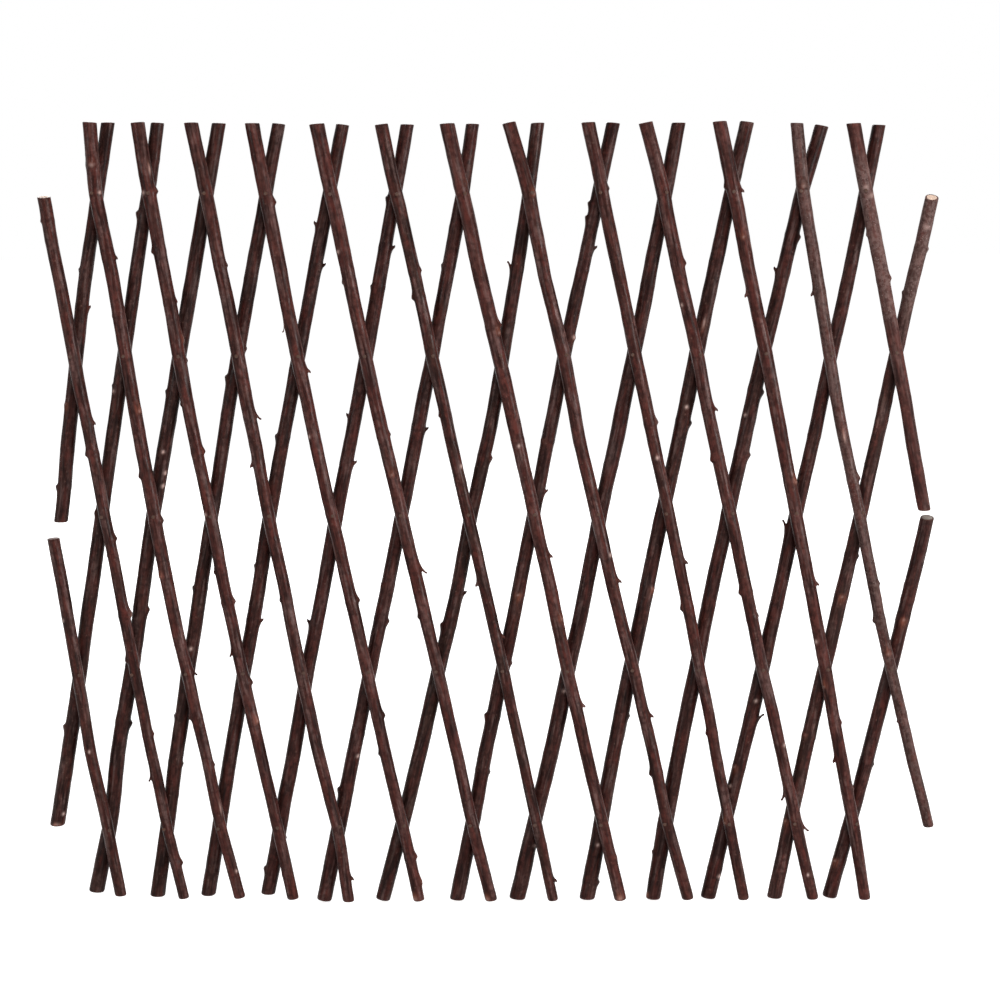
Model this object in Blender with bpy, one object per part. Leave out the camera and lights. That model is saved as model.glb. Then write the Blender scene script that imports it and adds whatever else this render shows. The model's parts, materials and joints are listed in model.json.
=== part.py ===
"""Expandable garden trellis: bark-on willow sticks in two layers, nailed wherever they cross.

The front layer leans one way and the back layer the other, so the panel opens and closes like
a row of scissors. Z is up, X runs along the panel, and Y points away from the viewer, at the wall.
The origin is the centre nail's axis, where it meets the wall.
"""

import math
import random

import bmesh
import bpy
from mathutils import Vector

# Driving dimensions, in metres.
LINK = 0.1225
# How far across the panel one link of a stick goes, and how much less each link of this panel
# goes, from its left edge to its right.
STEP_ACROSS = 0.0255
STEP_SHORTFALLS = (
    0.0055, 0.006, 0.004, 0.0035, 0.0015, 0.0, 0.0,
    0.0005, 0.0015, 0.0, 0.0005, 0.0015, 0.0005, 0.002,
)
# The nails of a whole stick.
NAIL_COUNT = 5
TOP_OVERHANG = 0.0525
FRONT_FOOT_OVERHANG = 0.0615
BACK_FOOT_OVERHANG = 0.057

FRONT_TOP_THICKNESS = 0.0108
FRONT_FOOT_THICKNESS = 0.0091
BACK_TOP_THICKNESS = 0.0103
BACK_FOOT_THICKNESS = 0.0117
# Sticks that grew noticeably thicker or thinner than the rest of their layer.
EXTRA_THICKNESS = {
    ("front", 1): -0.0006,
    ("front", 6): 0.0004,
    ("front", 7): -0.0006,
    ("front", 8): 0.0006,
    ("front", 10): -0.0005,
    ("front", 12): 0.0004,
    ("front", 13): -0.0009,
    ("back", 2): 0.0007,
    ("back", 9): 0.0008,
    ("back", 10): 0.0008,
    ("back", 11): 0.0005,
}
# The free ends at the two sides, past the last nail of each short stick.
SIDE_OVERHANGS = {
    ("front", 0): 0.106,
    ("front", 1): 0.12,
    ("back", 0): 0.128,
    ("back", 1): 0.122,
    ("front", 13): 0.126,
    ("front", 14): 0.122,
    ("back", 13): 0.117,
    ("back", 14): 0.117,
}
# How each stick grew bent, to the right of straight: at its top, in the middle and at its foot.
FRONT_BENDS = (
    (0.0, -0.0035, -0.002),
    (0.0025, 0.002, 0.0035),
    (0.007, 0.0, 0.0055),
    (0.001, -0.0005, -0.0005),
    (0.0005, -0.0005, -0.0065),
    (-0.0005, -0.001, -0.0015),
    (0.001, 0.0005, 0.0035),
    (-0.0005, 0.0, 0.002),
    (-0.0025, -0.0005, 0.0025),
    (-0.0055, -0.0015, 0.006),
    (0.0015, 0.002, -0.0005),
    (-0.0045, -0.0015, 0.0025),
    (0.0005, -0.0005, -0.004),
    (0.007, -0.003, 0.007),
    (0.001, 0.0005, -0.001),
)
BACK_BENDS = (
    (0.003, 0.0015, 0.007),
    (-0.003, -0.002, -0.0035),
    (0.0005, -0.002, -0.006),
    (-0.001, -0.0005, 0.001),
    (-0.002, -0.0005, -0.0005),
    (-0.0035, 0.002, 0.0005),
    (-0.005, 0.0005, -0.0015),
    (-0.0055, 0.004, -0.004),
    (-0.0005, -0.0005, 0.0025),
    (-0.0015, 0.003, -0.0005),
    (0.0005, -0.0015, 0.0025),
    (0.0065, -0.0015, 0.005),
    (0.002, 0.0025, -0.0025),
    (0.005, 0.0005, -0.0015),
    (0.004, 0.0015, -0.0055),
)
# Each nail still goes in within this much of the stick's middle.
NAIL_OFF_MIDDLE = 0.002
# Small crooks between the nails.
CROOK = 0.0004

NAIL_THICKNESS = 0.0014
NAIL_HEAD_WIDTH = 0.0028
NAIL_HEAD_THICKNESS = 0.0005
NAIL_HOLE_CLEARANCE = 0.00025
# The nail's point is hammered over behind the panel, this far down.
CLINCH_LENGTH = 0.004
# The gap between pieces that touch.
SEAT_GAP = 0.0003

STICK_SIDES = 10
NAIL_SIDES = 6
HOLE_SIDES = 6
# Points closer than this are one point.
WELD_TOLERANCE = 0.000001
GROWTH_SEED = 11

STEPS = [STEP_ACROSS - shortfall for shortfall in STEP_SHORTFALLS]
STICKS = len(STEPS) + 1
LAST = STICKS - 1
CENTRE = LAST // 2
NAILS_EACH_WAY = NAIL_COUNT // 2

FRONT_BARK = (0.078, 0.036, 0.029)
BACK_BARK = (0.060, 0.028, 0.023)
WEATHERED_BARK = (0.120, 0.075, 0.065)
NAIL_RUST = (0.045, 0.022, 0.016)


def running_total(steps):
    """The distance covered before each step, and after the last."""
    totals = [0.0]
    for step in steps:
        totals.append(totals[-1] + step)
    return totals


ACROSS = running_total(STEPS)
UP = running_total([math.sqrt(LINK**2 - step**2) for step in STEPS])


def crossing(front, back):
    """Where a front stick crosses a back stick, as x and z from the centre nail."""
    x = ACROSS[front] + ACROSS[back] - 2 * ACROSS[CENTRE]
    z = UP[front] - UP[back]
    return Vector((x, z))


def is_nailed(front, back):
    """Whether two sticks cross inside the panel. Its two far corners have no nail."""
    if front == back and front in (0, LAST):
        return False
    return abs(front - back) <= NAILS_EACH_WAY


def nails_of(layer, index):
    """The crossings of one stick from its top to its foot, each as a front and a back number."""
    if layer == "front":
        return [(index, back) for back in range(STICKS) if is_nailed(index, back)]
    return [(front, index) for front in reversed(range(STICKS)) if is_nailed(front, index)]


def overhang(layer, index, nail, at_foot):
    """How far a stick runs on past its top or its lowest nail."""
    front, back = nail
    edge_row = back - front == (NAILS_EACH_WAY if at_foot else -NAILS_EACH_WAY)
    if not edge_row:
        return SIDE_OVERHANGS.get((layer, index), LINK)
    if not at_foot:
        return TOP_OVERHANG
    return FRONT_FOOT_OVERHANG if layer == "front" else BACK_FOOT_OVERHANG


def bend(layer, index, share):
    """A smooth curve through a stick's three bends. share runs from 0 at the top to 1 at the foot."""
    top, middle, foot = (FRONT_BENDS if layer == "front" else BACK_BENDS)[index]
    steepness = 4 * middle - 3 * top - foot
    curvature = 2 * top - 4 * middle + 2 * foot
    return top + steepness * share + curvature * share**2


def stick_line(layer, index):
    """The middle of a stick from top to foot: past each nail, with its bend and small crooks."""
    growth = random.Random(f"{GROWTH_SEED} {layer} {index}")
    nails = nails_of(layer, index)
    places = [crossing(*nail) for nail in nails]
    above = (places[0] - places[1]).normalized()
    below = (places[-1] - places[-2]).normalized()
    top = places[0] + above * overhang(layer, index, nails[0], False)
    foot = places[-1] + below * overhang(layer, index, nails[-1], True)
    line = [top]
    for place, following in zip(places, places[1:]):
        line += [place, (place + following) / 2]
    line += [places[-1], foot]
    bent = []
    for number, place in enumerate(line):
        sideways = bend(layer, index, (top.y - place.y) / (top.y - foot.y))
        if number % 2:
            sideways = max(-NAIL_OFF_MIDDLE, min(NAIL_OFF_MIDDLE, sideways))
        else:
            sideways += growth.uniform(-CROOK, CROOK)
        bent.append(Vector((place.x + sideways, place.y)))
    return bent


PANEL_TOP = crossing(CENTRE + NAILS_EACH_WAY // 2, CENTRE - NAILS_EACH_WAY // 2).y + TOP_OVERHANG
PANEL_FOOT = crossing(CENTRE - NAILS_EACH_WAY // 2, CENTRE + NAILS_EACH_WAY // 2).y - BACK_FOOT_OVERHANG


def stick_radius(layer, index, height):
    """Half of a stick's thickness at a height. Front sticks stand thick end up, back ones down."""
    top, foot = FRONT_TOP_THICKNESS, FRONT_FOOT_THICKNESS
    if layer == "back":
        top, foot = BACK_TOP_THICKNESS, BACK_FOOT_THICKNESS
    share = (height - PANEL_FOOT) / (PANEL_TOP - PANEL_FOOT)
    thickness = foot + (top - foot) * share + EXTRA_THICKNESS.get((layer, index), 0.0)
    return thickness / 2


THICKEST_BACK = max(BACK_TOP_THICKNESS, BACK_FOOT_THICKNESS) + max(EXTRA_THICKNESS.values())
# The two layers meet on this plane, and the clinched nails behind them reach the wall at y = 0.
PARTING = -(SEAT_GAP + THICKEST_BACK + SEAT_GAP + NAIL_THICKNESS)


def stick_depth(layer, radius):
    """The y of a stick's middle, which lies against the parting plane from its own side."""
    outward = -1 if layer == "front" else 1
    return PARTING + outward * (SEAT_GAP / 2 + radius)


def carrier(index):
    """The number of the stick in the other layer that carries this one, a step nearer the centre."""
    if index == CENTRE:
        return None
    step = 1 if (CENTRE - index) % 2 else 2
    return index + step if index < CENTRE else index - step


def carried_at(layer, index):
    """The nail on which a stick turns against its carrier."""
    if index == CENTRE:
        return CENTRE, CENTRE
    if layer == "front":
        return index, carrier(index)
    return carrier(index), index


SEPARATE_NAILS = {carried_at(layer, index) for layer in ("front", "back") for index in range(STICKS)}


def stick_name(layer, index):
    return f"{layer}_stick_{index + 1:02d}"


def nail_name(front, back):
    if front == back == CENTRE:
        return "centre_nail"
    return f"nail_front_{front + 1:02d}_back_{back + 1:02d}"


def clear_scene():
    for thing in list(bpy.data.objects):
        bpy.data.objects.remove(thing)


def new_collection(name):
    collection = bpy.data.collections.new(name)
    bpy.context.scene.collection.children.link(collection)
    return collection


def plain_material(name, colour, roughness, metallic):
    material = bpy.data.materials.new(name)
    material.use_nodes = True
    shader = material.node_tree.nodes["Principled BSDF"]
    shader.inputs["Base Color"].default_value = (*colour, 1.0)
    shader.inputs["Roughness"].default_value = roughness
    shader.inputs["Metallic"].default_value = metallic
    return material


def round_bar(name, points, radii, sides, origin):
    """A closed mesh bar with filled ends along points, placed at its origin."""
    curve = bpy.data.curves.new(name, "CURVE")
    curve.dimensions = "3D"
    curve.bevel_depth = 1.0
    curve.bevel_resolution = sides // 2 - 2
    curve.use_fill_caps = True
    spline = curve.splines.new("POLY")
    spline.points.add(len(points) - 1)
    for knot, point, radius in zip(spline.points, points, radii):
        knot.co = (*(point - origin), 1.0)
        knot.radius = radius
    bar = bpy.data.objects.new(f"{name}_curve", curve)
    bar.location = origin
    bpy.context.scene.collection.objects.link(bar)
    bpy.context.view_layer.update()
    evaluated = bar.evaluated_get(bpy.context.evaluated_depsgraph_get())
    mesh = bpy.data.meshes.new_from_object(evaluated)
    mesh.name = name
    work = bmesh.new()
    work.from_mesh(mesh)
    bmesh.ops.remove_doubles(work, verts=work.verts, dist=WELD_TOLERANCE)
    bmesh.ops.recalc_face_normals(work, faces=work.faces)
    work.to_mesh(mesh)
    work.free()
    solid = bpy.data.objects.new(name, mesh)
    solid.matrix_world = bar.matrix_world.copy()
    bpy.data.objects.remove(bar)
    bpy.data.curves.remove(curve)
    return solid


def shade_round(solid):
    solid.data.shade_smooth()
    solid.data.set_sharp_from_angle(angle=math.radians(50))


def stick(layer, index, material, parts):
    """One stick, turning about the nail that joins it to its carrier."""
    line = stick_line(layer, index)
    radii = [stick_radius(layer, index, place.y) for place in line]
    points = []
    for place, radius in zip(line, radii):
        points.append(Vector((place.x, stick_depth(layer, radius), place.y)))
    pivot = crossing(*carried_at(layer, index))
    origin = Vector((pivot.x, PARTING, pivot.y))
    solid = round_bar(stick_name(layer, index), points, radii, STICK_SIDES, origin)
    shade_round(solid)
    solid.data.materials.append(material)
    parts.objects.link(solid)
    return solid


def nail(front, back):
    """A wire nail through both sticks of a crossing: flat head in front, point clinched behind."""
    place = crossing(front, back)
    front_width = 2 * stick_radius("front", front, place.y)
    back_width = 2 * stick_radius("back", back, place.y)
    shank = NAIL_THICKNESS / 2
    seat = PARTING - SEAT_GAP / 2 - front_width - SEAT_GAP
    tail = PARTING + SEAT_GAP / 2 + back_width + SEAT_GAP + shank
    outline = [
        (seat - NAIL_HEAD_THICKNESS, 0.0, NAIL_HEAD_WIDTH / 2),
        (seat - NAIL_HEAD_THICKNESS / 4, 0.0, NAIL_HEAD_WIDTH / 2),
        (seat, 0.0, shank),
        (tail - shank, 0.0, shank),
        (tail, -shank, shank),
        (tail, -CLINCH_LENGTH, shank / 2),
    ]
    points = [Vector((place.x, depth, place.y + drop)) for depth, drop, _ in outline]
    radii = [radius for _, _, radius in outline]
    origin = Vector((place.x, PARTING, place.y))
    solid = round_bar(nail_name(front, back), points, radii, NAIL_SIDES, origin)
    shade_round(solid)
    return solid


def hide_tool(tool, tools):
    tool.hide_render = True
    tool.display_type = "WIRE"
    tools.objects.link(tool)


def hole_cutter(name, nails, tools):
    """One cylinder for each nail that passes through a stick with clearance."""
    radius = (NAIL_THICKNESS / 2 + NAIL_HOLE_CLEARANCE) / math.cos(math.pi / HOLE_SIDES)
    depth = 4 * (FRONT_TOP_THICKNESS + THICKEST_BACK)
    work = bmesh.new()
    for front, back in nails:
        place = crossing(front, back)
        drilled = bmesh.ops.create_cone(
            work,
            cap_ends=True,
            segments=HOLE_SIDES,
            radius1=radius,
            radius2=radius,
            depth=depth,
        )
        spin = Vector((0, 0, 1)).rotation_difference(Vector((0, 1, 0))).to_matrix()
        bmesh.ops.rotate(work, verts=drilled["verts"], matrix=spin)
        bmesh.ops.translate(work, verts=drilled["verts"], vec=Vector((place.x, PARTING, place.y)))
    mesh = bpy.data.meshes.new(name)
    work.to_mesh(mesh)
    work.free()
    cutter = bpy.data.objects.new(name, mesh)
    hide_tool(cutter, tools)
    return cutter


def boolean(solid, operation, tool):
    change = solid.modifiers.new(tool.name, "BOOLEAN")
    change.operation = operation
    change.solver = "EXACT"
    change.object = tool


def drill(solid, layer, index, tools):
    """Holes for the separate nails, and behind for every nail, because the back stick turns on it."""
    nails = nails_of(layer, index)
    if layer == "front":
        nails = [pair for pair in nails if pair in SEPARATE_NAILS]
    boolean(solid, "DIFFERENCE", hole_cutter(f"{solid.name}_holes", nails, tools))


def drive_fixed_nails(solid, index, material, tools):
    """The front stick's other nails are driven tight into it, so they are one solid with it."""
    for pair in nails_of("front", index):
        if pair not in SEPARATE_NAILS:
            driven = nail(*pair)
            driven.data.materials.append(material)
            hide_tool(driven, tools)
            boolean(solid, "UNION", driven)


def build():
    clear_scene()
    parts = new_collection("expandable_trellis")
    tools = new_collection("cutters")
    bark = {
        "front": plain_material("front_bark", FRONT_BARK, 0.5, 0.0),
        "back": plain_material("back_bark", BACK_BARK, 0.55, 0.0),
    }
    weathered = plain_material("weathered_bark", WEATHERED_BARK, 0.65, 0.0)
    rust = plain_material("nail_steel", NAIL_RUST, 0.5, 0.8)
    silvered = {("front", LAST), ("back", LAST - 1)}
    for layer in ("front", "back"):
        for index in range(STICKS):
            material = weathered if (layer, index) in silvered else bark[layer]
            solid = stick(layer, index, material, parts)
            drill(solid, layer, index, tools)
            if layer == "front":
                drive_fixed_nails(solid, index, rust, tools)
    for front, back in sorted(SEPARATE_NAILS):
        solid = nail(front, back)
        solid.data.materials.append(rust)
        parts.objects.link(solid)


build()
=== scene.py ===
# %% [markdown]
# # An expandable willow trellis
#
# Thirty willow sticks, still in their bark, lie in two layers. The front ones lean one way and the
# back ones the other, and a wire nail holds every crossing, so the panel folds like scissors.
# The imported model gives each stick's line, thickness and motion. Here each stick gets its bark,
# knots, twig stubs and sawn ends, and each nail its hammered head and its bent point.

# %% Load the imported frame
import json
import math
import random
from collections import namedtuple

import bmesh
import bpy
import numpy as np
from mathutils import Matrix, Vector, noise


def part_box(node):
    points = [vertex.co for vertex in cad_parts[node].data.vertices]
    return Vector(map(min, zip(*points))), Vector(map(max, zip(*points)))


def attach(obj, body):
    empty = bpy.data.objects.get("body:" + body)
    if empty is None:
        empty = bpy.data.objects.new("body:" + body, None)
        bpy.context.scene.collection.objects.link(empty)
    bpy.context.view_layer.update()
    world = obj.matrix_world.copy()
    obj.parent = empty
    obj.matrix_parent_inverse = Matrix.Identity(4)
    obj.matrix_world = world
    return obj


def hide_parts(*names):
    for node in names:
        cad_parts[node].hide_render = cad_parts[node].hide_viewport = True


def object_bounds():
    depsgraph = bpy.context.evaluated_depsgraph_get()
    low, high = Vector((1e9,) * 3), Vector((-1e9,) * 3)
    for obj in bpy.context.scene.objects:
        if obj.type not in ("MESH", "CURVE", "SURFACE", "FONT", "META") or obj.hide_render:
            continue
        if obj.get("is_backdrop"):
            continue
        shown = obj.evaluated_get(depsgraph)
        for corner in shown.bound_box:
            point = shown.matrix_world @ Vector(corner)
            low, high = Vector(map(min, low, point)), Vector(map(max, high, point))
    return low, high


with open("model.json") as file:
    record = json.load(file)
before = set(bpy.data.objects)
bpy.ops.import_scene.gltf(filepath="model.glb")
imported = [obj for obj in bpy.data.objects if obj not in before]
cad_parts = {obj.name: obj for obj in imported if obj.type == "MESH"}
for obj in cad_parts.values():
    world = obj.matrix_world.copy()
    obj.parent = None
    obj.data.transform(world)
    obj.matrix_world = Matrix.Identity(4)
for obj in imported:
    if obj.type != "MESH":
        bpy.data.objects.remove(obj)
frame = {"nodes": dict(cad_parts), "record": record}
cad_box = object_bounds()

scene = bpy.context.scene
box_low, box_high = (np.array(corner, dtype=float) for corner in cad_box)

# %% [markdown]
# ## The camera
#
# The picture was taken from a little above the middle of the panel, with a normal lens. A camera
# is placed by three directions: where it looks, which way is right and which way is up, so it can
# lean over by a third of a degree, as the real one did.

# %% Camera
AIM = Vector((0.0239, -0.0145, 0.0102))
CAMERA_DISTANCE = 1.715
CAMERA_HEIGHT_ANGLE = math.radians(7.04)
CAMERA_LEAN = math.radians(0.341)
LENS = 81.7
SENSOR = 36.0
CAMERA_REACH = 50
PICTURE_SIZE = 1000


def put_in_scene(name, data, place=None):
    """A new object with this mesh, lamp or camera."""
    item = bpy.data.objects.new(name, data)
    if place is not None:
        item.matrix_world = place
    scene.collection.objects.link(item)
    return item


def turned(point, right, up, back):
    """A place in space, and the three directions that an object's own axes point in."""
    return Matrix.Translation(point) @ Matrix((right, up, back)).transposed().to_4x4()


look = Vector((0, math.cos(CAMERA_HEIGHT_ANGLE), -math.sin(CAMERA_HEIGHT_ANGLE)))
level = Vector((1, 0, 0))
upright = level.cross(look)
right = level * math.cos(CAMERA_LEAN) - upright * math.sin(CAMERA_LEAN)
up = level * math.sin(CAMERA_LEAN) + upright * math.cos(CAMERA_LEAN)
view = turned(AIM - look * CAMERA_DISTANCE, right, up, -look)
camera = put_in_scene("camera", bpy.data.cameras.new("camera"), view)
camera.data.lens = LENS
camera.data.sensor_width = SENSOR
camera.data.clip_end = CAMERA_REACH
scene.camera = camera
to_camera = camera.matrix_world.inverted()


def picture_height(point):
    """How far down the picture a point of the scene is seen, in pixels."""
    seen = to_camera @ Vector(point)
    return PICTURE_SIZE * (0.5 + LENS / SENSOR * seen.y / seen.z)


print("camera at", [round(x, 3) for x in camera.matrix_world.translation])

# %% [markdown]
# ## Where the crossings are
#
# All the cells of the lattice are parallelograms, so a crossing is the sum of one step for its
# front stick and one for its back stick. The nails that are nodes of their own join all thirty
# sticks. Starting at the middle, each of them gives the step of one more stick, and then every
# other crossing is a sum.

# %% Steps of the lattice
STICKS = 15
CENTRE = STICKS // 2 + 1
NUMBERS = range(1, STICKS + 1)
NAILS_EACH_WAY = 2
HEAD_EDGE = 0.0002


def nail_place(node):
    """Where a nail's axis is, as x and z. Its head is round, and only its point hangs down."""
    places = np.array([v.co for v in frame["nodes"][node].data.vertices])
    head = places[places[:, 1] < places[:, 1].min() + HEAD_EDGE][:, (0, 2)]
    return (head.min(axis=0) + head.max(axis=0)) / 2


separate_nails = {(CENTRE, CENTRE): "centre_nail"}
for node in sorted(frame["nodes"]):
    if node.startswith("nail_front_"):
        front, back = node.split("_")[2::2]
        separate_nails[int(front), int(back)] = node

centre_place = nail_place("centre_nail")
front_step = {CENTRE: np.zeros(2)}
back_step = {CENTRE: np.zeros(2)}
while len(front_step) < STICKS or len(back_step) < STICKS:
    for (front, back), node in separate_nails.items():
        if front in front_step and back not in back_step:
            back_step[back] = nail_place(node) - centre_place - front_step[front]
        if back in back_step and front not in front_step:
            front_step[front] = nail_place(node) - centre_place - back_step[back]

crossings = {}
for front in NUMBERS:
    for back in NUMBERS:
        corner = front == back and front in (1, STICKS)
        if abs(front - back) <= NAILS_EACH_WAY and not corner:
            crossings[front, back] = centre_place + front_step[front] + back_step[back]
print("crossings:", len(crossings), "with a node of their own:", len(separate_nails))

# %% [markdown]
# ## Measuring the sticks
#
# Each stick in the frame is a plain faceted bar. Cutting it with level planes gives its middle and
# its width at many heights, so the bark can be modelled on the very same line. The two layers
# meet on one upright plane, and each stick lies against it from its own side. A stick's key is
# its layer and its number from the left, such as front 7.

# %% Measure a stick
SECTIONS = 60
END_MARGIN = 0.004
END_SECTIONS = 4
LAYER_GAP = 0.0003
CORNER_SOFTNESS = 0.012
FINE_POINTS = 600
FRONT = [f"front {n}" for n in NUMBERS]
NODES = {f"{layer} {n}": f"{layer}_stick_{n:02d}" for layer in ("front", "back") for n in NUMBERS}
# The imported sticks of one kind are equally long, but the picture shows that the real ones aren't.
FIRST_ON_FLOOR = 7
ON_FLOOR = [f"back {n}" for n in range(FIRST_ON_FLOOR, STICKS + 1)]
SHORT_FEET = {"front 1": 0.008, "front 2": 0.005, "front 3": 0.005, "front 4": 0.003, "back 3": 0.004}
SHORT_TOPS = {"back 12": 0.003, "back 13": 0.003, "front 14": 0.0015, "front 15": 0.002}

parting = min(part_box(f"back_stick_{n:02d}")[0].y for n in NUMBERS) - LAYER_GAP / 2


def edge_ends(node):
    """Both ends of each of a node's edges."""
    mesh = frame["nodes"][node].data
    places = np.array([v.co for v in mesh.vertices])
    pairs = np.array([edge.vertices[:] for edge in mesh.edges])
    return places[pairs[:, 0]], places[pairs[:, 1]]


def measure(key):
    """Heights along a stick, the x of its middle at each, its taper, and its real top and foot."""
    first, second = edge_ends(NODES[key])
    top = max(first[:, 2].max(), second[:, 2].max())
    foot = min(first[:, 2].min(), second[:, 2].min())
    heights = np.linspace(top - END_MARGIN, foot + END_MARGIN, SECTIONS)
    middles, widths = [], []
    for height in heights:
        cut = (first[:, 2] - height) * (second[:, 2] - height) < 0
        a, b = first[cut], second[cut]
        share = (height - a[:, 2]) / (b[:, 2] - a[:, 2])
        x = a[:, 0] + (b[:, 0] - a[:, 0]) * share
        middles.append((x.min() + x.max()) / 2)
        widths.append(x.max() - x.min())
    middles, widths = np.array(middles), np.array(widths)
    slope = np.gradient(middles, heights)
    taper = np.polyfit(heights, widths / 2 / np.sqrt(1 + slope**2), 1)
    if key in ON_FLOOR:
        foot = float(box_low[2])
    foot += SHORT_FEET.get(key, 0)
    top -= SHORT_TOPS.get(key, 0)
    top -= np.polyval(taper, top) * abs(math.sin(math.atan(slope[:END_SECTIONS].mean())))
    foot += np.polyval(taper, foot) * abs(math.sin(math.atan(slope[-END_SECTIONS:].mean())))
    return heights, middles, taper, top, foot


# %% Lay a smooth line through it
def go_on(x, fine, heights, middles, end, inner):
    """Carries a stick's middle line straight on past its first or last level cut."""
    slope = (middles[end] - middles[inner]) / (heights[end] - heights[inner])
    past = fine > heights[0] if end == 0 else fine < heights[-1]
    x[past] = middles[end] + (fine[past] - heights[end]) * slope


def smooth_line(key):
    """A stick's middle line from top to foot, its radius along it and the distance from the top."""
    heights, middles, taper, top, foot = measure(key)
    fine = np.linspace(top, foot, FINE_POINTS)
    x = np.interp(fine, heights[::-1], middles[::-1])
    go_on(x, fine, heights, middles, 0, END_SECTIONS - 1)
    go_on(x, fine, heights, middles, -1, -END_SECTIONS)
    reach = int(CORNER_SOFTNESS / abs(fine[1] - fine[0]))
    weights = np.hanning(2 * reach + 1)
    mirrored = np.concatenate((2 * x[0] - x[reach:0:-1], x, 2 * x[-1] - x[-2:-reach - 2:-1]))
    x = np.convolve(mirrored, weights / weights.sum(), "valid")
    radii = np.polyval(taper, fine)
    side = -1 if key in FRONT else 1
    line = np.stack((x, parting + side * (LAYER_GAP / 2 + radii), fine), axis=1)
    steps = np.linalg.norm(np.diff(line, axis=0), axis=1)
    return line, radii, np.concatenate(([0.0], np.cumsum(steps)))


sticks = {key: smooth_line(key) for key in NODES}
lengths = [along[-1] for _, _, along in sticks.values()]
print("sticks:", len(sticks), "from", round(min(lengths), 3), "to", round(max(lengths), 3), "m long")

# %% [markdown]
# ## Shader groups
#
# Bark, sawn wood and rusty wire share a few effects: streaks that run with the grain, soft
# patches, small specks and growth rings. Each is a node group, built once and placed in every
# material that needs it. The bark has to follow bent sticks, so the mesh carries an attribute
# called grain: the place on the stick as it would be if the stick were straight.

# %% Helpers for node trees
def feed(tree, socket, value):
    """Gives an input its value: a link if the value is a socket, and else a constant."""
    if isinstance(value, bpy.types.NodeSocket):
        tree.links.new(value, socket)
    else:
        socket.default_value = value


def add(tree, kind, **settings):
    """A new node. Settings that name an input or give its number feed it, others are properties."""
    node = tree.nodes.new(kind)
    for key, value in settings.items():
        if key.startswith("in_"):
            label = key[3:].replace("_", " ")
            feed(tree, node.inputs[int(label) if label.isdigit() else label], value)
        else:
            setattr(node, key, value)
    return node


def calculate(tree, operation, *values, clamp=False):
    """The result of one sum with numbers or sockets."""
    inputs = {f"in_{i}": value for i, value in enumerate(values)}
    return add(tree, "ShaderNodeMath", operation=operation, use_clamp=clamp, **inputs).outputs[0]


def new_group(name, output, **values):
    """A shader node group with the input Grain, an input for each value, and one output."""
    tree = bpy.data.node_groups.new(name, "ShaderNodeTree")
    tree.interface.new_socket("Grain", in_out="INPUT", socket_type="NodeSocketVector")
    for label, value in values.items():
        socket = tree.interface.new_socket(label, in_out="INPUT", socket_type="NodeSocketFloat")
        socket.default_value = value
    tree.interface.new_socket(output, in_out="OUTPUT", socket_type="NodeSocketFloat")
    return tree, tree.nodes.new("NodeGroupInput").outputs, tree.nodes.new("NodeGroupOutput").inputs


# %% Streaks along the grain
streaks, given, results = new_group(
    "Grain streaks", "Streaks", Width=0.001, Length=0.02, Contrast=2.0, Level=0.5
)
thin = calculate(streaks, "DIVIDE", 1.0, given["Width"])
long = calculate(streaks, "DIVIDE", 1.0, given["Length"])
scale = add(streaks, "ShaderNodeCombineXYZ", in_X=thin, in_Y=thin, in_Z=long).outputs[0]
stretched = add(
    streaks, "ShaderNodeVectorMath", operation="MULTIPLY", in_0=given["Grain"], in_1=scale
).outputs[0]
wood = add(streaks, "ShaderNodeTexNoise", in_Vector=stretched, in_Scale=1.0, in_Detail=3.0)
centred = calculate(streaks, "SUBTRACT", wood.outputs["Fac"], 0.5)
shown = calculate(streaks, "MULTIPLY_ADD", centred, given["Contrast"], given["Level"], clamp=True)
streaks.links.new(shown, results[0])
print("group:", streaks.name)

# %% Soft patches
CLOUD_DETAIL = 5.0
CLOUD_ROUGHNESS = 0.62

patches, given, results = new_group("Patches", "Mask", Size=0.01, Amount=0.5, Softness=0.1)
scale = calculate(patches, "DIVIDE", 1.0, given["Size"])
cloud = add(patches, "ShaderNodeTexNoise", in_Vector=given["Grain"], in_Scale=scale, in_Detail=CLOUD_DETAIL)
cloud.inputs["Roughness"].default_value = CLOUD_ROUGHNESS
edge = calculate(patches, "SUBTRACT", 1.0, given["Amount"])
low = calculate(patches, "SUBTRACT", edge, given["Softness"])
high = calculate(patches, "ADD", edge, given["Softness"])
mask = add(patches, "ShaderNodeMapRange", in_Value=cloud.outputs["Fac"], in_From_Min=low, in_From_Max=high)
patches.links.new(mask.outputs[0], results[0])
print("group:", patches.name)

# %% Small specks
SPECK_EDGE = 0.12
SPECK_FRAY = 0.3
FRAY_SCALE = 1800.0

specks, given, results = new_group("Specks", "Mask", Spacing=0.004, Size=0.25)
scale = calculate(specks, "DIVIDE", 1.0, given["Spacing"])
cells = add(specks, "ShaderNodeTexVoronoi", in_Vector=given["Grain"], in_Scale=scale)
ragged = add(specks, "ShaderNodeTexNoise", in_Vector=given["Grain"], in_Scale=FRAY_SCALE)
distance = calculate(specks, "MULTIPLY_ADD", ragged.outputs["Fac"], SPECK_FRAY, cells.outputs["Distance"])
rim = calculate(specks, "ADD", given["Size"], SPECK_EDGE)
spot = add(
    specks, "ShaderNodeMapRange", in_Value=distance, in_From_Min=given["Size"], in_From_Max=rim,
    in_To_Min=1.0, in_To_Max=0.0,
)
specks.links.new(spot.outputs[0], results[0])
print("group:", specks.name)

# %% Growth rings
TWO_PI = 2 * math.pi
WOBBLE_SCALE = 420.0
WOBBLE = 0.0012

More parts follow.
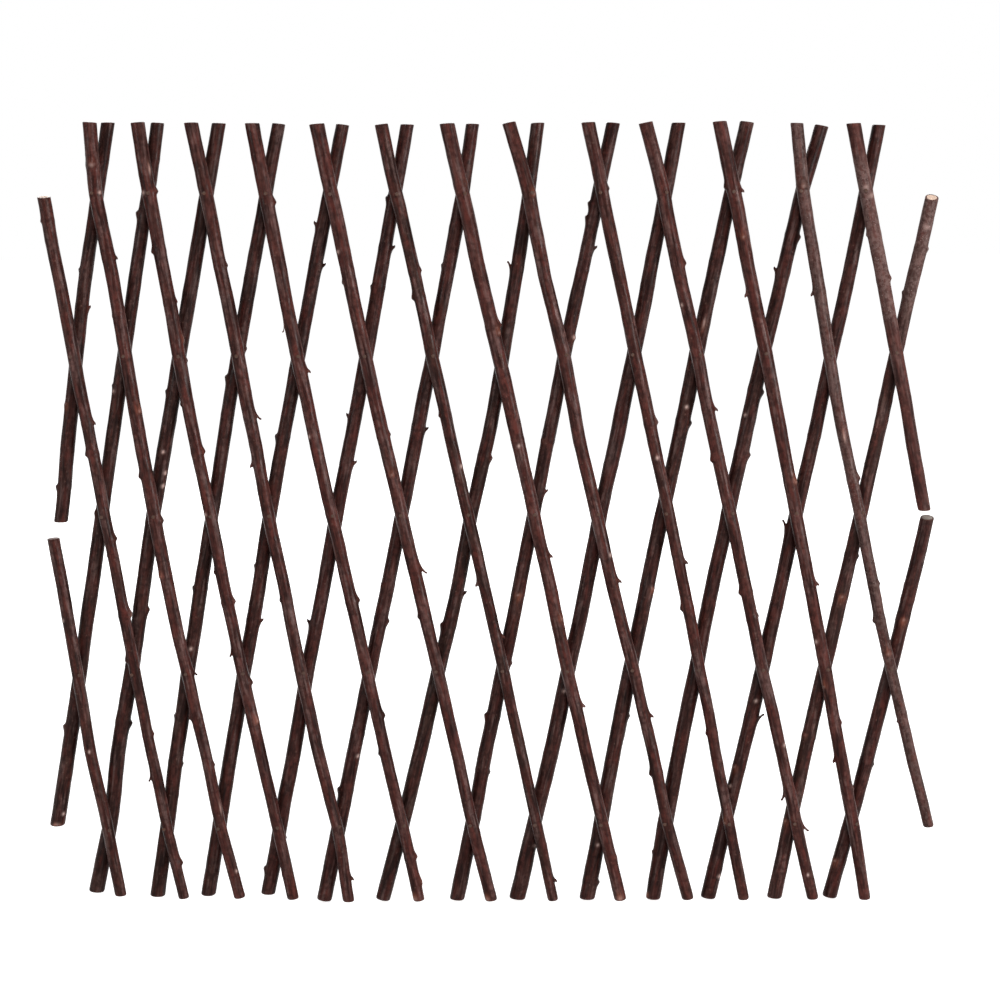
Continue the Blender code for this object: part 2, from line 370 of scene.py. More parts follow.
rings, given, results = new_group("Growth rings", "Rings", Spacing=0.0012)
flat = add(rings, "ShaderNodeVectorMath", operation="MULTIPLY", in_0=given["Grain"], in_1=(1, 1, 0))
radius = add(rings, "ShaderNodeVectorMath", operation="LENGTH", in_0=flat.outputs[0]).outputs["Value"]
wobble = add(rings, "ShaderNodeTexNoise", in_Vector=given["Grain"], in_Scale=WOBBLE_SCALE, in_Detail=2.0)
uneven = calculate(rings, "MULTIPLY_ADD", wobble.outputs["Fac"], WOBBLE, radius)
turns = calculate(rings, "DIVIDE", uneven, given["Spacing"])
wave = calculate(rings, "SINE", calculate(rings, "MULTIPLY", turns, TWO_PI))
rings.links.new(calculate(rings, "MULTIPLY_ADD", wave, 0.5, 0.5), results[0])
print("group:", rings.name)

# %% [markdown]
# ## Bark
#
# Young willow bark is thin, satin and dark red-brown. Long soft streaks of nearly black, brown, red
# and grey run along the stick, the grey partly bark bloom and partly a painted sheen. Finer fibres,
# small pale pores and mottled patches lie over them. Knots are orange round a pale scar. The mesh
# says where, with four masks: knot, pale, weather, which is grey bark with specks of lichen, and
# tone, which makes a whole stick darker.
# Three barks share the recipe: the back sticks are darker, which is painted shade of the back layer,
# and two sticks are greyer.

# %% Materials: helpers
def new_material(name):
    material = bpy.data.materials.new(name)
    material.use_nodes = True
    tree = material.node_tree
    return material, tree, tree.nodes["Principled BSDF"]


def place_group(tree, group, *values):
    """Puts a group into a tree, feeds its inputs in their order, and gives its output."""
    inputs = {f"in_{i}": value for i, value in enumerate(values)}
    return add(tree, "ShaderNodeGroup", node_tree=group, **inputs).outputs[0]


def mix(tree, factor, first, second):
    """A colour between two, by a mask. Each colour is three numbers or a socket."""
    first, second = [(*c, 1.0) if isinstance(c, tuple) else c for c in (first, second)]
    return add(tree, "ShaderNodeMix", data_type="RGBA", in_0=factor, in_6=first, in_7=second).outputs[2]


def multiply(tree, *values):
    """The product of masks."""
    result = values[0]
    for value in values[1:]:
        result = calculate(tree, "MULTIPLY", result, value)
    return result


def read(tree, name, output="Fac"):
    """An attribute that the mesh carries."""
    return add(tree, "ShaderNodeAttribute", attribute_name=name).outputs[output]


def dress(tree, shader, colour, roughness, bump, specular=None):
    """Gives a shader its colour, its roughness (mask, low, high) and its bump (mask, strength, depth)."""
    mask, low, high = roughness
    rough = add(tree, "ShaderNodeMapRange", in_Value=mask, in_To_Min=low, in_To_Max=high)
    mask, strength, depth = bump
    raised = add(tree, "ShaderNodeBump", in_Height=mask, in_Strength=strength, in_Distance=depth)
    tree.links.new(colour, shader.inputs["Base Color"])
    tree.links.new(rough.outputs[0], shader.inputs["Roughness"])
    tree.links.new(raised.outputs[0], shader.inputs["Normal"])
    if specular is not None:
        shader.inputs["Specular IOR Level"].default_value = specular


# %% Materials: bark
ORANGE_WOOD = (0.26, 0.082, 0.048)
PALE_SCAR = (0.55, 0.40, 0.36)
OLIVE = (0.030, 0.0165, 0.0125)
PORE = (0.140, 0.080, 0.064)
GREY_BARK = (0.185, 0.120, 0.108)
LICHEN = (0.50, 0.42, 0.39)
# Streaks have a width, length, contrast and level, patches a size, amount and softness, and
# specks a spacing and size.
BARK_MASKS = {
    "bands": (streaks, 0.0042, 0.034, 6.0, 0.5),
    "reds": (streaks, 0.0040, 0.020, 5.0, 0.4),
    # Grey streaks: partly bark bloom and partly a painted sheen.
    "greys": (streaks, 0.0026, 0.030, 6.0, 0.0),
    "strands": (streaks, 0.0014, 0.012, 5.0, 0.42),
    "fibres": (streaks, 0.0005, 0.006, 2.6, 0.5),
    "blots": (patches, 0.0040, 0.46, 0.10),
    "mottle": (patches, 0.0075, 0.5, 0.12),
    "crust": (patches, 0.0028, 0.49, 0.05),
    "pores": (specks, 0.0055, 0.2),
    "spots": (specks, 0.0017, 0.20),
}
# What lies over the bands, from below: a colour, how much of it, and the masks that say where.
BARK_LAYERS = (
    ("red", 0.75, "reds"),
    # The grey laid over the bands is partly bark bloom and partly a painted sheen.
    ("bloom", 0.7, "greys"),
    ("dark", 0.7, "blots"),
    ("dark", 0.75, "strands", "mottle"),
    ("brown", 0.3, "fibres"),
    ("pore", 0.6, "pores", "fibres"),
    ("grey fibres", 0.3, "weather"),
    ("grey", 0.45, "weather", "crust"),
    ("lichen", 0.7, "weather", "mottle", "spots"),
    ("worn wood", 0.85, "knot"),
    ("scar", 1.0, "pale"),
)
WORN_STRANDS = 0.6
SCAR_FIBRES = 0.35
ROUGHNESS_SPREAD = (-0.03, 0.10)
FIBRE_RISE = 0.5
PORE_RISE = 0.8
BARK_BUMP = (0.6, 0.00008)
BARK_SPECULAR = 0.05


def bark(name, dark, brown, bloom, red, roughness):
    material, tree, shader = new_material(name)
    grain = read(tree, "grain", "Vector")
    masks = {label: read(tree, label) for label in ("knot", "pale", "weather", "tone")}
    for label, (group, *values) in BARK_MASKS.items():
        masks[label] = place_group(tree, group, grain, *values)
    fibres, strands = masks["fibres"], masks["strands"]
    own_brown = mix(tree, masks["tone"], brown, OLIVE)
    colours = {
        "dark": dark, "brown": own_brown, "bloom": bloom, "red": red, "pore": PORE,
        "grey": GREY_BARK, "grey fibres": mix(tree, fibres, brown, GREY_BARK), "lichen": LICHEN,
        "worn wood": mix(tree, multiply(tree, strands, WORN_STRANDS), ORANGE_WOOD, dark),
        "scar": mix(tree, multiply(tree, fibres, SCAR_FIBRES), PALE_SCAR, ORANGE_WOOD),
    }
    colour = mix(tree, masks["bands"], dark, own_brown)
    for over, amount, *where in BARK_LAYERS:
        mask = multiply(tree, *[masks[label] for label in where], amount)
        colour = mix(tree, mask, colour, colours[over])
    height = calculate(tree, "MULTIPLY_ADD", fibres, FIBRE_RISE, strands)
    height = calculate(tree, "MULTIPLY_ADD", masks["pores"], PORE_RISE, height)
    low, high = (roughness + change for change in ROUGHNESS_SPREAD)
    dress(tree, shader, colour, (strands, low, high), (height, *BARK_BUMP), BARK_SPECULAR)
    return material


front_bark = bark(
    "front_bark", dark=(0.0095, 0.0030, 0.0026), brown=(0.078, 0.0290, 0.0238), bloom=(0.150, 0.090, 0.082),
    red=(0.096, 0.0230, 0.0180), roughness=0.28,
)
# The back layer's bark is darker than the front's: painted shade of the layer behind.
back_bark = bark(
    "back_bark", dark=(0.0070, 0.0024, 0.0022), brown=(0.055, 0.0206, 0.0170), bloom=(0.105, 0.063, 0.057),
    red=(0.068, 0.0165, 0.0130), roughness=0.31,
)
weathered_bark = bark(
    "weathered_bark", dark=(0.016, 0.0065, 0.0060), brown=(0.082, 0.0315, 0.0260),
    bloom=(0.155, 0.088, 0.078), red=(0.098, 0.0280, 0.0230), roughness=0.45,
)
print("barks: front, back and weathered")

# %% [markdown]
# ## Sawn ends and rusty nails
#
# Most ends were stained with the bark, so only a hint of the growth rings shows. A few were sawn
# afterwards and are pale. The nails are plain wire nails that have rusted dark brown, with
# brighter steel in the middle of each head, partly worn bright by the hammer and partly a painted
# highlight.

# %% Materials: sawn wood
RING_SPACING = 0.0011
STAIN_SIZE, STAIN_SOFTNESS = 0.004, 0.12
SAWN_PORES = (0.0009, 0.15)
PORE_GRIME = 0.5
SAWN_ROUGHNESS = (0.7, 0.85)
SAWN_BUMP = (0.4, 0.0002)


def sawn_wood(name, early, late, grime, grime_amount):
    """Wood sawn across: rings of early and late wood under grime."""
    material, tree, shader = new_material(name)
    grain = read(tree, "grain", "Vector")
    ring = place_group(tree, rings, grain, RING_SPACING)
    stain = place_group(tree, patches, grain, STAIN_SIZE, grime_amount, STAIN_SOFTNESS)
    pores = place_group(tree, specks, grain, *SAWN_PORES)
    colour = mix(tree, stain, mix(tree, ring, early, late), grime)
    colour = mix(tree, multiply(tree, pores, PORE_GRIME), colour, grime)
    dress(tree, shader, colour, (ring, *SAWN_ROUGHNESS), (ring, *SAWN_BUMP))
    return material


stained_end = sawn_wood(
    "stained_end", (0.150, 0.052, 0.036), (0.085, 0.030, 0.022), (0.040, 0.016, 0.013), 0.45
)
fresh_end = sawn_wood("fresh_end", (0.86, 0.66, 0.53), (0.78, 0.54, 0.41), (0.50, 0.27, 0.19), 0.26)
grey_end = sawn_wood("grey_end", (0.36, 0.31, 0.27), (0.22, 0.17, 0.145), (0.11, 0.08, 0.07), 0.4)

# %% Materials: rusty wire nails
DARK_RUST = (0.034, 0.020, 0.016)
RED_RUST = (0.075, 0.027, 0.014)
# Brighter steel in the middle of each head: partly hammer wear and partly a painted highlight.
STRUCK_STEEL_AND_HIGHLIGHT = (0.070, 0.042, 0.033)
PIT = (0.020, 0.010, 0.008)
PIT_AMOUNT = 0.7
CRUST_ON_STRUCK_AND_HIGHLIGHT = 0.7
METALLIC = (0.05, 0.2)

nail_rust, tree, shader = new_material("nail_rust")
grain = read(tree, "grain", "Vector")
crust = place_group(tree, patches, grain, 0.0012, 0.5, 0.12)
pits = place_group(tree, specks, grain, 0.0005, 0.2)
bare = calculate(tree, "SUBTRACT", 1.0, multiply(tree, crust, CRUST_ON_STRUCK_AND_HIGHLIGHT))
# Mask of the head's middle: hammer wear and a painted highlight.
struck_and_highlight = multiply(tree, read(tree, "struck_and_highlight"), bare)
colour = mix(tree, struck_and_highlight, mix(tree, crust, DARK_RUST, RED_RUST), STRUCK_STEEL_AND_HIGHLIGHT)
colour = mix(tree, multiply(tree, pits, PIT_AMOUNT), colour, PIT)
dress(tree, shader, colour, (crust, 0.45, 0.75), (crust, 0.5, 0.0001), 0.2)
low, high = METALLIC
metal = add(tree, "ShaderNodeMapRange", in_Value=struck_and_highlight, in_To_Min=low, in_To_Max=high)
tree.links.new(metal.outputs[0], shader.inputs["Metallic"])
print("ends: stained, fresh and grey; nails: rusty")

# %% [markdown]
# ## Knots and twig stubs
#
# A bud, a fallen leaf or a twig leaves its mark on the bark, and each kind of mark has its own
# swelling, colour and stub. The front sticks have their thin end down and the back ones up, and
# marks point to the thin end. The table gives what was read from the picture: each kind of
# mark on a stick, with its heights in the picture in pixels, and the side. R and L are the right
# and the left edge, F is the front, and FR and FL are between. The camera above turns a height
# back into a distance along the stick, and the bark carries the mark from there.

# %% Kinds of marks
# Sizes of the swelling; how orange and how pale; half width and length of the pale spot; its
# depth; and the kind of stub.
Kind = namedtuple(
    "Kind", "height length width orange pale spot dip stub", defaults=(0, (0.001, 0.001), 0, None)
)
KINDS = {
    "bud": Kind(0.0009, 0.0022, 0.0019, 0.05),
    "bump": Kind(0.0015, 0.0032, 0.0026, 0.10),
    "spur": Kind(0.0008, 0.0030, 0.0024, 0.10, stub="spur"),
    "hook": Kind(0.0009, 0.0034, 0.0024, 0.10, stub="hook"),
    "strip": Kind(0.0004, 0.0060, 0.0020, 0.40, 0.20, (0.001, 0.006), stub="strip"),
    "pip": Kind(0.0003, 0.0016, 0.0013, 0.10, 0.95, (0.0012, 0.0013)),
    "knot": Kind(0.0010, 0.0040, 0.0027, 0.50, 0.25, (0.0009, 0.0009), 0.0002),
    "scar": Kind(0.0003, 0.0050, 0.0014, 0.55, 0.5, (0.0008, 0.0040)),
    "cut": Kind(0.0022, 0.0032, 0.0030, 0.35, 0.85, (0.0014, 0.0014), 0.0010),
    "curl": Kind(0.0024, 0.0030, 0.0030, 0.20, 0.4, (0.0013, 0.0013), 0.0018),
    "lichen": Kind(0, 0.0030, 0.0030, 0, 0.35, (0.0032, 0.0018)),
    "worn": Kind(0, 0.0034, 0.0034, 0.85, 0.35, (0.0028, 0.0020)),
}
SIDE_ANGLE = {side: i * math.pi / 4 for i, side in enumerate(("R", "FR", "F", "FL", "L"))}
print("kinds of marks:", ", ".join(KINDS))

# %% What the picture shows
# A line that starts with a space goes on with the marks of the same stick.
SEEN_MARKS = """
front 1: pip 620FL 752F
front 2: bud 221L 735R, spur 424R, bump 454L 540R 660L 864R, pip 555L, cut 616R, hook 777L
front 3: curl 165F, pip 193FR 316L 872FR, spur 259R, knot 412FR 576FL, bump 476L 522R 717L, hook 674R,
 bud 766R, scar 809FR
front 4: scar 170FR, pip 192FL 514FL 875L, bump 193R 251L 453R 603R 684R, bud 303R 362R 404L 572L,
 knot 341R 722FR, hook 652L
front 5: bud 267R 600L, hook 417R, spur 464L 879R
front 6: bump 204R 602R 717R 858R, strip 325L, spur 372R, pip 436FL, bud 753L, knot 884R, worn 899FL
front 7: pip 251FL, bud 282L 436R 616L 858FL, knot 475F, hook 570R, worn 899FL
front 8: bud 272R 415L, bump 297L, pip 467FR, spur 582L 637R 881R
front 9: bump 185FR 327R 859FR, knot 334FR 620FR, pip 446F, spur 557R 706R, worn 899F
front 10: knot 195FR, pip 556FR, spur 582R 717R, bump 773L
front 11: bud 190R 554FL 733L, bump 424R 608L, pip 458F, spur 563R, knot 822FL
front 12: bump 265R 459L 592L, pip 304FL 746FR 875F, spur 410R, bud 617R, hook 793L 828R
front 13: bump 186L, spur 191R 293L 585R 758L, knot 237F 483FR 686FL, pip 641FL, bud 724R 790R
front 14: curl 186F, spur 292L, scar 437F, bump 480R 620L, bud 585R, knot 654F, hook 715FL
front 15: lichen 187F 196FR, bud 234L, bump 280R
back 1: bud 270L, spur 307R, knot 405FL, bump 487L
back 2: bump 214L 513FL 727L, bud 386L, pip 392FL 813FR, worn 826F
back 3: bud 392L, pip 452F 472FR 485FR, bump 608R 721R
back 4: bud 347R 588L 716L 762R, bump 378L, pip 649F
back 5: spur 226L 264R 620R, bump 437L, bud 566L
back 6: bump 199L 869L, spur 247R 417L 462R 624L, bud 287L 677FR 836R
back 7: bud 266L 396FL, spur 428R, bump 586FL 619R 790L, pip 755FR
back 8: hook 268L, bump 456R 626L, spur 592R, bud 842FR
back 9: bump 204L 218L 441FL 716L, spur 247R 490R, bud 270FR 661R 770R, cut 336FR, knot 595F
back 10: bud 383FL, pip 691F 844FR
back 11: scar 323F, pip 407F 845F, bump 421R 880R, knot 588FR, bud 714R
back 12: bump 235R 390R 453R, spur 272L, pip 416FL, bud 852L, worn 894L
back 13: hook 528L 717R, pip 701F 787FL 875FR, knot 768FL
back 14: lichen 227F, bud 247R 293L 421FL 554R 714FL, knot 597F 822FL, bump 736FL
back 15: pip 585L, knot 620F 862FL, bud 762R
"""
seen_marks = {key: [] for key in NODES}
for text in SEEN_MARKS.replace("\n ", " ").strip().splitlines():
    key, groups = text.split(": ")
    for group in groups.split(", "):
        kind, *places = group.split()
        for place in places:
            side = place.lstrip("0123456789")
            seen_marks[key].append((float(place[:-len(side)]), SIDE_ANGLE[side], kind))
    seen_marks[key].sort()
print("marks seen:", sum(len(marks) for marks in seen_marks.values()))

# %% [markdown]
# The picture shows only the front of each stick. Behind, marks are strewn by a seeded random
# choice, about every five centimetres, on the half that the camera doesn't see.

# %% Marks of each stick
MARK_EVERY = 0.052
END_CLEAR = 0.004
WORN_CLEAR = 0.001
CLOSE_FOLDING = 4
CLOSE_STUB_SIZE = 0.6
HIDDEN_KINDS = ["bud", "bud", "bump", "knot", "pip", "spur"]
FIRST_HIDDEN, LAST_HIDDEN = 0.02, 0.015
SEEN_SIZES, HIDDEN_SIZES = (0.9, 1.1), (0.5, 0.9)
HIDDEN_TURNS = (1.3, 1.7)
UNEVEN_GAPS = (0.6, 1.5)


def distance_down(key, height, angle, clear):
    """The distance from a stick's top at which its surface shows, clear of both ends."""
    line, radii, along = sticks[key]
    outward = np.array((math.cos(angle), -math.sin(angle), 0))
    heights = [picture_height(point) for point in line + radii[:, None] * outward]
    return float(np.clip(np.interp(height, heights, along), clear, along[-1] - clear))


def stick_marks(key):
    """A stick's marks: those that were seen, and random ones behind."""
    length = sticks[key][2][-1]
    chance = random.Random(f"marks {key}")
    stub_size = CLOSE_STUB_SIZE if int(key.split()[1]) <= CLOSE_FOLDING else 1.0
    marks = []
    for height, angle, kind in seen_marks[key]:
        at = distance_down(key, height, angle, END_CLEAR if KINDS[kind].height else WORN_CLEAR)
        size = chance.uniform(*SEEN_SIZES)
        marks.append({"at": at, "angle": angle, "kind": KINDS[kind], "size": size})
    at = chance.uniform(FIRST_HIDDEN, MARK_EVERY)
    while at < length - LAST_HIDDEN:
        angle = math.pi * chance.uniform(*HIDDEN_TURNS)
        kind = KINDS[chance.choice(HIDDEN_KINDS)]
        marks.append({"at": at, "angle": angle, "kind": kind, "size": chance.uniform(*HIDDEN_SIZES)})
        at += MARK_EVERY * chance.uniform(*UNEVEN_GAPS)
    for mark in marks:
        mark["stub_size"] = stub_size * mark["size"]
    return marks


marks_of = {key: stick_marks(key) for key in sticks}
print("marks in all:", sum(len(marks) for marks in marks_of.values()))

# %% [markdown]
# ## The shape of the bark
#
# A stick could be a curve with a bevel, but bark isn't round: it has flats, shallow ridges and a
# swelling at each knot. So each stick is a row of rings, and each point of a ring is pushed in or
# out by a few simple rules. The rings are closer together near a knot, where the eye looks.

# %% Rings along a stick
SIDES = 24
FINE_STEP = 0.0009
COARSE_STEP = 0.0026
MARK_REACH = 0.004
MEAN_RADIUS = 0.006
SWAY, SWAY_LENGTH = 0.00035, 0.035


def smooth_noise(distances, seed, length):
    """A gentle random wave along a stick, between -1 and 1, with humps about length apart."""
    wave = random.Random(seed)
    count = int(distances[-1] / length) + 4
    values = np.array([wave.uniform(-1, 1) for _ in range(count)])
    place = distances / length + 1
    low = place.astype(int)
    t = place - low
    t = t * t * (3 - 2 * t)
    return values[low] * (1 - t) + values[np.minimum(low + 1, count - 1)] * t


def ring_distances(length, marks):
    """Distances of the rings from the top, close together at the marks and at both ends."""
    special = [0.0, length] + [mark["at"] for mark in marks]
    distances = [0.0]
    while distances[-1] < length:
        nearest = min(abs(distances[-1] - at) for at in special)
        share = min(max((nearest - MARK_REACH) / MARK_REACH, 0), 1)
        distances.append(distances[-1] + FINE_STEP + (COARSE_STEP - FINE_STEP) * share)
    return np.array(distances) * (length / distances[-1])


def centre_line(key, distances):
    """The ring centres and radii, and at each ring the directions along, right and front."""
    line, radii, along = sticks[key]
    line = line.copy()
    line[:, 0] += SWAY * smooth_noise(along, f"{key} sway", SWAY_LENGTH)
    centres = np.stack([np.interp(distances, along, line[:, k]) for k in range(3)], axis=1)
    tangent = np.gradient(centres, distances, axis=0)
    tangent /= np.linalg.norm(tangent, axis=1)[:, None]
    right = np.array((1.0, 0, 0)) - tangent * tangent[:, :1]
    right /= np.linalg.norm(right, axis=1)[:, None]
    return centres, np.interp(distances, along, radii), tangent, right, np.cross(tangent, right)


# %% Flats, ridges and marks
# Heights are shares of the radius, and lengths are metres along the stick.
TWIST, TWIST_LENGTH = 0.8, 0.2
OVAL, OVAL_LENGTH = 0.022, 0.06
THREE_SIDED, THREE_SIDED_TURN = 0.014, 1.3
GIRTH, GIRTH_LENGTH = 0.03, 0.045
# Height, and how close together they are round the stick and along it.
LUMPS, RIDGES = (0.035, 1.1, 90), (0.03, 3.2, 35)
# A mark's shape ahead and behind and its collar, as shares of the length or height of its kind.
BEHIND, AHEAD = 1.3, 0.45
COLLAR_HEIGHT, COLLAR_LENGTH = 0.14, 0.8
ORANGE_SPREAD = 1.3


def bark_relief(seed, distances, around):
    """How far the bark stands out or in, as a share of the radius."""
    twist = TWIST * smooth_noise(distances, seed + " twist", TWIST_LENGTH)[:, None]
    oval = 1 + smooth_noise(distances, seed + " oval", OVAL_LENGTH)[:, None]
    relief = OVAL * np.cos(2 * (around - twist)) * oval
    relief += THREE_SIDED * np.cos(3 * (around + 2 * twist) + THREE_SIDED_TURN)
    relief += GIRTH * smooth_noise(distances, seed + " girth", GIRTH_LENGTH)[:, None]
    offset = random.Random(seed + " offset").uniform(0, 50)
    circle = [(math.cos(turn), math.sin(turn)) for turn in around[0]]
    for i, distance in enumerate(distances):
        for j, (c, s) in enumerate(circle):
            relief[i, j] += sum(
                height * noise.noise(Vector((c * close, s * close, distance * dense + offset)))
                for height, close, dense in (LUMPS, RIDGES)
            )
    return relief, offset


def mark_relief(marks, distances, around, growth):
    """The swelling of each mark in metres, and the orange and the pale mask."""
    rise, orange, pale = (np.zeros((len(distances), SIDES)) for _ in range(3))
    for mark in marks:
        kind, size = mark["kind"], mark["size"]
        nearest_row = round(mark["angle"] / TWO_PI * SIDES) * TWO_PI / SIDES
        turn = (around - nearest_row + math.pi) % TWO_PI - math.pi
        sideways = turn * MEAN_RADIUS / size
        ahead = (distances[:, None] - mark["at"]) * growth / size
        reach = np.where(ahead < 0, kind.length * BEHIND, kind.length * AHEAD)
        hump = np.exp(-((sideways / kind.width) ** 2) - (ahead / reach) ** 2)
        collar = np.exp(-((ahead / (kind.length * COLLAR_LENGTH)) ** 2))
        spot = np.exp(-((sideways / kind.spot[0]) ** 2) - (ahead / kind.spot[1]) ** 2)
        rise += size * (kind.height * (hump + COLLAR_HEIGHT * collar) - kind.dip * spot)
        orange = np.maximum(orange, kind.orange * np.clip(hump * ORANGE_SPREAD, 0, 1))
        pale = np.maximum(pale, kind.pale * spot)
    return rise, orange, pale


# %% Saw cuts at the ends
# How far a cut faces the viewer, in degrees, where the picture shows its wood.
FACING_CUTS = {"back 14": 27, "front 2": 11, "back 15": 17}
LEVELLED = 7
UNEVEN_LEVEL, UNEVEN_FACING = 3, 2
SLANT_REACH = 0.012


def slant_ends(key, places, centres, distances, tangent, right, front):
    """Slides the points near both ends along the stick, so that each saw cut slants."""
    chance = random.Random(f"{key} saw")
    to_level = LEVELLED if key in FRONT else -LEVELLED
    facing = FACING_CUTS.get(key, chance.uniform(-UNEVEN_FACING, UNEVEN_FACING))
    foot_facing = chance.uniform(-UNEVEN_FACING, UNEVEN_FACING)
    spread = places - centres[:, None, :]
    for distance, toward_viewer in ((distances, facing), (distances[-1] - distances, foot_facing)):
        sideways = math.tan(math.radians(to_level + chance.uniform(-UNEVEN_LEVEL, UNEVEN_LEVEL)))
        forward = math.tan(math.radians(toward_viewer))
        slide = (spread * right[:, None, :]).sum(axis=2) * sideways
        slide += (spread * front[:, None, :]).sum(axis=2) * forward
        slide *= np.clip(1 - distance / SLANT_REACH, 0, 1)[:, None]
        places += slide[:, :, None] * tangent[:, None, :]
    return places


def keep_inside(places, key):
    """Bark never grew into the other layer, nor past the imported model's own box."""
    low, high = box_low.copy(), box_high.copy()
    if key in FRONT:
        high[1] = parting - LAYER_GAP / 3
    else:
        low[1] = parting + LAYER_GAP / 3
    return np.clip(places, low, high)


print("ring sides:", SIDES)

# %% [markdown]
# ## The skin of a stick
#
# The rings are joined with quads. At each end a few smaller rings round the edge over, then comes
# a rim of bark, and inside it the sawn wood. A twig stub is drawn out of the same skin: a patch of
# faces is extruded a few times, smaller each time, and leans to the thin end, so the stick stays
# one closed surface.

# %% Rings, rims and sawn faces
BARK_RIM = 0.0007
TOP_ROUNDING = 0.0005
FOOT_ROUNDING = 0.0015
ROUNDING_ANGLES = (30, 60, 90)
WORN_TOP, WORN_FOOT = 0.3, 0.35
WORN_FEET = {"back 2": 1.0, "front 9": 0.8, "front 6": 0.7, "front 7": 0.7, "back 12": 0.6}
WORN_SCAR = 0.2
RAGGED = (0.3, 1.0)
INNER_RING = 0.55


def make_ring(skin, points, coordinates, orange, pale):
    """One ring of points with their attributes."""
    ring = []
    for point, coordinate, knot, scar in zip(points, coordinates, orange, pale):
        vert = skin.verts.new(point)
        vert[skin.verts.layers.float_vector["grain"]] = coordinate
        vert[skin.verts.layers.float["knot"]] = knot
        vert[skin.verts.layers.float["pale"]] = scar
        ring.append(vert)
    return ring


def join_rings(skin, first, second, material):
    for j in range(SIDES):
        k = (j + 1) % SIDES
        skin.faces.new((first[j], first[k], second[k], second[j])).material_index = material


def end_rings(skin, key, shape, index, inward, rounding, worn):
    """The rings from the rounded edge to the sawn face, outermost first."""
    ring, coordinates = shape["places"][index], shape["grain"][index]
    centre, middle = ring.mean(axis=0), coordinates.mean(axis=0)
    radius = shape["radii"][index]
    steps = []
    for angle in map(math.radians, ROUNDING_ANGLES):
        sine, cosine = math.sin(angle), math.cos(angle)
        steps.append((rounding * (1 - cosine), rounding * (1 - sine), worn * sine))
    steps += [(rounding + BARK_RIM, 0.0, worn), (radius * INNER_RING, 0.0, 0.0)]
    made = []
    for narrower, deeper, wear in steps:
        share = 1 - narrower / radius
        points = centre + (ring - centre) * share + shape["tangent"][index] * inward * deeper
        grain = middle + (coordinates - middle) * share
        orange = wear * shape["ragged"]
        made.append(make_ring(skin, keep_inside(points, key), grain, orange, orange * WORN_SCAR))
    return made


# %% Build the mesh of one stick
def stick_shape(key):
    """All ring points of a stick, with their grain coordinates and masks."""
    marks = marks_of[key]
    distances = ring_distances(sticks[key][2][-1], marks)
    around = (np.arange(SIDES) / SIDES * TWO_PI)[None, :]
    centres, radii, tangent, right, front = centre_line(key, distances)
    relief, offset = bark_relief(key, distances, around)
    growth = 1 if key in FRONT else -1
    rise, orange, pale = mark_relief(marks, distances, around, growth)
    c, s = np.cos(around), np.sin(around)
    out = c[:, :, None] * right[:, None, :] + s[:, :, None] * front[:, None, :]
    places = centres[:, None, :] + (radii[:, None] * (1 + relief) + rise)[:, :, None] * out
    places = slant_ends(key, places, centres, distances, tangent, right, front)
    run = np.broadcast_to(distances[:, None], relief.shape) + offset
    grain = np.stack((radii[:, None] * c, radii[:, None] * s, run), axis=2)
    wear = random.Random(f"{key} wear")
    ragged = np.array([wear.uniform(*RAGGED) for _ in range(SIDES)])
    return {
        "places": keep_inside(places, key), "grain": grain, "orange": orange, "pale": pale,
        "radii": radii, "centres": centres, "tangent": tangent, "distances": distances,
        "growth": growth, "ragged": ragged,
    }


def to_mesh(work, name):
    """Ends the work on a mesh."""
    mesh = bpy.data.meshes.new(name)
    work.to_mesh(mesh)
    work.free()
    return mesh


def stick_mesh(name, key, shape):
    """A closed skin: material 0 is bark, 1 the sawn top, 2 the sawn foot."""
    skin = bmesh.new()
    skin.verts.layers.float_vector.new("grain")
    for mask in ("knot", "pale"):
        skin.verts.layers.float.new(mask)
    distances = shape["distances"]
    top = end_rings(skin, key, shape, 0, 1, TOP_ROUNDING, WORN_TOP)
    foot = end_rings(skin, key, shape, -1, -1, FOOT_ROUNDING, WORN_FEET.get(key, WORN_FOOT))
    body = {}
    for i, distance in enumerate(distances):
        if TOP_ROUNDING < distance < distances[-1] - FOOT_ROUNDING:
            body[i] = make_ring(skin, *(shape[part][i] for part in ("places", "grain", "orange", "pale")))
    rows = top[::-1] + list(body.values()) + foot
    for index, (first, second) in enumerate(zip(rows, rows[1:])):
        join_rings(skin, first, second, 1 if index == 0 else 2 if index == len(rows) - 2 else 0)
    for rim, index, material in ((rows[0], 0, 1), (rows[-1], -1, 2)):
        point, coordinate = (shape[part][index].mean(axis=0) for part in ("places", "grain"))
        middle = make_ring(skin, [point], [coordinate], [0], [0])[0]
        for j in range(SIDES):
            pair = (rim[j], rim[(j + 1) % SIDES])
            if index == 0:
                pair = pair[::-1]
            skin.faces.new((*pair, middle)).material_index = material
    for mark in marks_of[key]:
        if mark["kind"].stub:
            grow_stub(skin, body, mark, shape)
    bmesh.ops.recalc_face_normals(skin, faces=skin.faces)
    return to_mesh(skin, name)


# %% Twig stubs
# Each step draws the patch outward and toward the thin end, and shrinks it to a share.
STUB_STEPS = {
    "spur": ((0.0006, 0.0005, 0.70), (0.0007, 0.0006, 0.80), (0.0004, 0.0006, 0.85), (0.0001, 0.0001, 0.6)),
    "hook": (
        (0.0006, 0.0009, 0.68), (0.0008, 0.0013, 0.80), (0.0008, 0.0012, 0.85), (0.0008, 0.0003, 0.80),
        (0.0002, -0.0001, 0.6),
    ),
    "strip": (
        (0.0003, 0.0006, 0.50), (0.0004, 0.0018, 0.80), (0.0007, 0.0016, 0.90), (0.0009, 0.0006, 0.80),
        (0.0003, -0.0004, 0.5),
    ),
}


def patch_of(body, ring, sector):
    """The faces round one point of the bark, four along and two across."""
    faces = []
    for i in range(ring - 2, ring + 2):
        for j in (sector - 1, sector):
            corners = [body[row][k % SIDES] for row in (i, i + 1) for k in (j, j + 1)]
            faces += [f for f in corners[0].link_faces if all(c in f.verts for c in corners)]
    return faces


